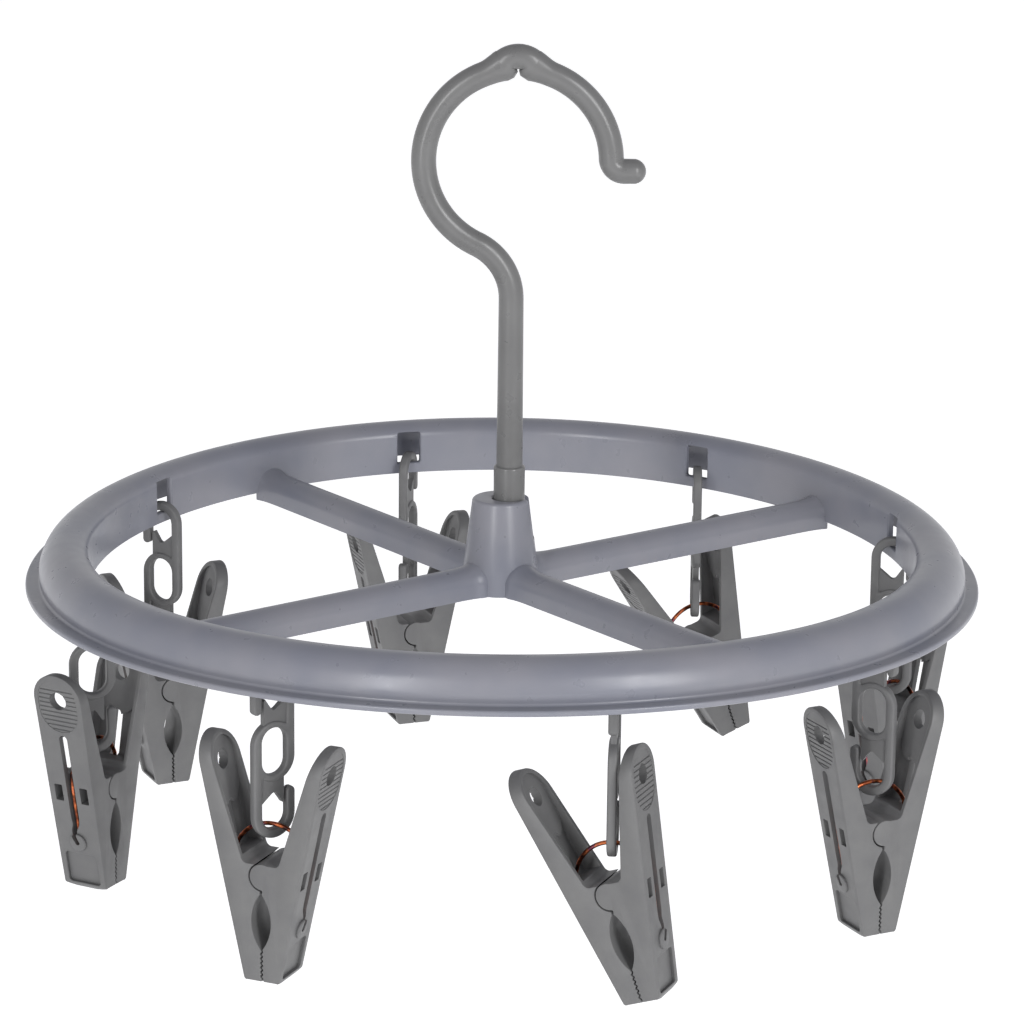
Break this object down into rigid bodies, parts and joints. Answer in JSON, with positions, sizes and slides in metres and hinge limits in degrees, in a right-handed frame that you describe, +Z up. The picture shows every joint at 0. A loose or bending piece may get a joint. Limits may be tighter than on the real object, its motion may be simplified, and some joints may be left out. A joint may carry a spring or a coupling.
{
  "type": "clip drying hanger",
  "caption": "Round drying hanger: a swivel hook carries a spoked ring, and sprung clips hang from its edge on hooked links.",
  "frame": {"origin": "underside of the notch at the top of the hook, where the hanger rests on a rail", "axes": "+Z up, parallel to the swivel axis; the hook bends in the XZ plane and its open end is on +X"},
  "size_m": [0.2499, 0.25, 0.2186],
  "materials": {
    "frame_plastic": "smooth moulded polypropylene, light grey, semi-gloss",
    "hook_plastic": "moulded polypropylene, mid grey, semi-gloss",
    "clip_plastic": "moulded polypropylene, dark grey, satin",
    "spring_wire": "bent spring wire with a coppery, lightly tarnished surface"
  },
  "bodies": {
    "hook": {"swivel_hook": "hook_plastic"},
    "frame": {"ring_frame": "frame_plastic"},
    "link_1": {"link_1": "clip_plastic"},
    "clip_1": {"knuckle_leg_1": "clip_plastic", "spring_1": "spring_wire"},
    "jaw_1": {"socket_leg_1": "clip_plastic"},
    "link_2": {"link_2": "clip_plastic"},
    "clip_2": {"knuckle_leg_2": "clip_plastic", "spring_2": "spring_wire"},
    "jaw_2": {"socket_leg_2": "clip_plastic"},
    "link_3": {"link_3": "clip_plastic"},
    "clip_3": {"knuckle_leg_3": "clip_plastic", "spring_3": "spring_wire"},
    "jaw_3": {"socket_leg_3": "clip_plastic"},
    "link_4": {"link_4": "clip_plastic"},
    "clip_4": {"knuckle_leg_4": "clip_plastic", "spring_4": "spring_wire"},
    "jaw_4": {"socket_leg_4": "clip_plastic"},
    "link_5": {"link_5": "clip_plastic"},
    "clip_5": {"knuckle_leg_5": "clip_plastic", "spring_5": "spring_wire"},
    "jaw_5": {"socket_leg_5": "clip_plastic"},
    "link_6": {"link_6": "clip_plastic"},
    "clip_6": {"knuckle_leg_6": "clip_plastic", "spring_6": "spring_wire"},
    "jaw_6": {"socket_leg_6": "clip_plastic"},
    "link_7": {"link_7": "clip_plastic"},
    "clip_7": {"knuckle_leg_7": "clip_plastic", "spring_7": "spring_wire"},
    "jaw_7": {"socket_leg_7": "clip_plastic"},
    "link_8": {"link_8": "clip_plastic"},
    "clip_8": {"knuckle_leg_8": "clip_plastic", "spring_8": "spring_wire"},
    "jaw_8": {"socket_leg_8": "clip_plastic"}
  },
  "joints": [
    {"name": "hook_swivel", "type": "hinge", "parent": "hook", "child": "frame", "pos_m": [-0.00125, 0, -0.12705], "axis": [0, 0, 1], "continuous": true},
    {"name": "link_swing_1", "type": "hinge", "parent": "frame", "child": "link_1", "pos_m": [0.10297, 0.02737, -0.13684], "axis": [-0.2504, 0.9681, 0], "range_deg": [-25, 25]},
    {"name": "clip_swing_1", "type": "hinge", "parent": "link_1", "child": "clip_1", "pos_m": [0.10297, 0.02737, -0.1719], "axis": [0.7431, 0.6691, 0], "range_deg": [-26, 26]},
    {"name": "jaw_1", "type": "hinge", "parent": "clip_1", "child": "jaw_1", "pos_m": [0.10329, 0.02765, -0.18377], "axis": [-0.6691, 0.7431, 0], "range_deg": [0, 12], "stiffness_Nm_per_rad": 0.02, "springref_deg": -28.65, "deforming": ["spring_1"]},
    {"name": "link_swing_2", "type": "hinge", "parent": "frame", "child": "link_2", "pos_m": [0.05262, 0.09418, -0.13548], "axis": [-0.8616, 0.5075, 0], "range_deg": [-25, 25]},
    {"name": "clip_swing_2", "type": "hinge", "parent": "link_2", "child": "clip_2", "pos_m": [0.05262, 0.09418, -0.17065], "axis": [0.9135, 0.4067, 0], "range_deg": [-26, 26]},
    {"name": "jaw_2", "type": "hinge", "parent": "clip_2", "child": "jaw_2", "pos_m": [0.05472, 0.09511, -0.1822], "axis": [-0.4067, 0.9135, 0], "range_deg": [0, 12], "stiffness_Nm_per_rad": 0.02, "springref_deg": -28.65, "deforming": ["spring_2"]},
    {"name": "link_swing_3", "type": "hinge", "parent": "frame", "child": "link_3", "pos_m": [-0.03022, 0.10582, -0.1351], "axis": [-0.9681, -0.2504, 0], "range_deg": [-25, 25]},
    {"name": "clip_swing_3", "type": "hinge", "parent": "link_3", "child": "clip_3", "pos_m": [-0.03022, 0.10582, -0.17011], "axis": [0.9397, 0.342, 0], "range_deg": [-26, 26]},
    {"name": "jaw_3", "type": "hinge", "parent": "clip_3", "child": "jaw_3", "pos_m": [-0.02981, 0.10597, -0.18198], "axis": [-0.342, 0.9397, 0], "range_deg": [0, 12], "stiffness_Nm_per_rad": 0.02, "springref_deg": -28.65, "deforming": ["spring_3"]},
    {"name": "link_swing_4", "type": "hinge", "parent": "frame", "child": "link_4", "pos_m": [-0.09703, 0.05547, -0.13674], "axis": [-0.5075, -0.8616, 0], "range_deg": [-25, 25]},
    {"name": "clip_swing_4", "type": "hinge", "parent": "link_4", "child": "clip_4", "pos_m": [-0.09703, 0.05547, -0.17177], "axis": [0.9063, 0.4226, 0], "range_deg": [-26, 26]},
    {"name": "jaw_4", "type": "hinge", "parent": "clip_4", "child": "jaw_4", "pos_m": [-0.09664, 0.05566, -0.18365], "axis": [-0.4226, 0.9063, 0], "range_deg": [0, 12], "stiffness_Nm_per_rad": 0.02, "springref_deg": -28.65, "deforming": ["spring_4"]},
    {"name": "link_swing_5", "type": "hinge", "parent": "frame", "child": "link_5", "pos_m": [-0.10867, -0.02737, -0.13713], "axis": [0.2504, -0.9681, 0], "range_deg": [-25, 25]},
    {"name": "clip_swing_5", "type": "hinge", "parent": "link_5", "child": "clip_5", "pos_m": [-0.10867, -0.02737, -0.17197], "axis": [0.4695, 0.8829, 0], "range_deg": [-26, 26]},
    {"name": "jaw_5", "type": "hinge", "parent": "clip_5", "child": "jaw_5", "pos_m": [-0.10847, -0.02699, -0.18385], "axis": [-0.8829, 0.4695, 0], "range_deg": [0, 12], "stiffness_Nm_per_rad": 0.02, "springref_deg": -28.65, "deforming": ["spring_5"]},
    {"name": "link_swing_6", "type": "hinge", "parent": "frame", "child": "link_6", "pos_m": [-0.05832, -0.09418, -0.13561], "axis": [0.8616, -0.5075, 0], "range_deg": [-25, 25]},
    {"name": "clip_swing_6", "type": "hinge", "parent": "link_6", "child": "clip_6", "pos_m": [-0.05832, -0.09418, -0.17072], "axis": [0.9135, -0.4067, 0], "range_deg": [-26, 26]},
    {"name": "jaw_6", "type": "hinge", "parent": "clip_6", "child": "jaw_6", "pos_m": [-0.05793, -0.09435, -0.1826], "axis": [0.4067, 0.9135, 0], "range_deg": [0, 12], "stiffness_Nm_per_rad": 0.02, "springref_deg": -28.65, "deforming": ["spring_6"]},
    {"name": "link_swing_7", "type": "hinge", "parent": "frame", "child": "link_7", "pos_m": [0.02452, -0.10582, -0.13524], "axis": [0.9681, 0.2504, 0], "range_deg": [-25, 25]},
    {"name": "clip_swing_7", "type": "hinge", "parent": "link_7", "child": "clip_7", "pos_m": [0.02452, -0.10582, -0.17046], "axis": [0.9135, -0.4067, 0], "range_deg": [-26, 26]},
    {"name": "jaw_7", "type": "hinge", "parent": "clip_7", "child": "jaw_7", "pos_m": [0.02627, -0.1066, -0.18206], "axis": [0.4067, 0.9135, 0], "range_deg": [0, 12], "stiffness_Nm_per_rad": 0.02, "springref_deg": -28.65, "deforming": ["spring_7"]},
    {"name": "link_swing_8", "type": "hinge", "parent": "frame", "child": "link_8", "pos_m": [0.09133, -0.05547, -0.13674], "axis": [0.5075, 0.8616, 0], "range_deg": [-25, 25]},
    {"name": "clip_swing_8", "type": "hinge", "parent": "link_8", "child": "clip_8", "pos_m": [0.09133, -0.05547, -0.1718], "axis": [0.891, 0.454, 0], "range_deg": [-26, 26]},
    {"name": "jaw_8", "type": "hinge", "parent": "clip_8", "child": "jaw_8", "pos_m": [0.09171, -0.05528, -0.18368], "axis": [-0.454, 0.891, 0], "range_deg": [0, 12], "stiffness_Nm_per_rad": 0.02, "springref_deg": -28.65, "deforming": ["spring_8"]}
  ]
}
